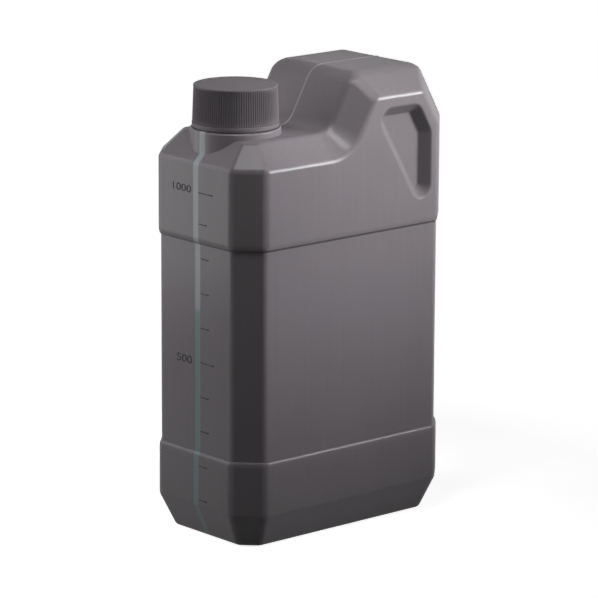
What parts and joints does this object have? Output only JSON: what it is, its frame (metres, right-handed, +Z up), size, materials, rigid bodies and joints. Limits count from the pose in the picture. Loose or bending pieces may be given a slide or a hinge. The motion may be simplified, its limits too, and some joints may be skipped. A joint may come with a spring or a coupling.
{
  "type": "flat plastic can",
  "caption": "Flat blow-moulded plastic can for liquids, with cut corners, a sunk label panel, a rear hump with grip recesses, and a ribbed screw cap on an offset neck.",
  "frame": {"origin": "middle of the base, on the surface the can stands on", "axes": "+X from the narrow front face with the neck to the rear face with the hump, +Y across the thickness, +Z up"},
  "size_m": [0.1164, 0.0676, 0.194],
  "materials": {
    "can": "satin",
    "cap": "satin",
    "seal": "matte"
  },
  "bodies": {
    "can": {"can_body": "can"},
    "seal": {"seal_disc": "seal"},
    "cap": {"screw_cap": "cap"}
  },
  "joints": [
    {"name": "cap_lift", "type": "slide", "parent": "can", "child": "seal", "axis": [0, 0, 1], "range_m": [0, 0.0168]},
    {"name": "cap_turn", "type": "hinge", "parent": "seal", "child": "cap", "pos_m": [-0.03575, 0, 0.182], "axis": [0, 0, 1], "range_deg": [0, 1440]}
  ],
  "couplings": [
    {"joint": "cap_lift", "follows": "cap_turn", "m_per_rad": 0.000668}
  ]
}
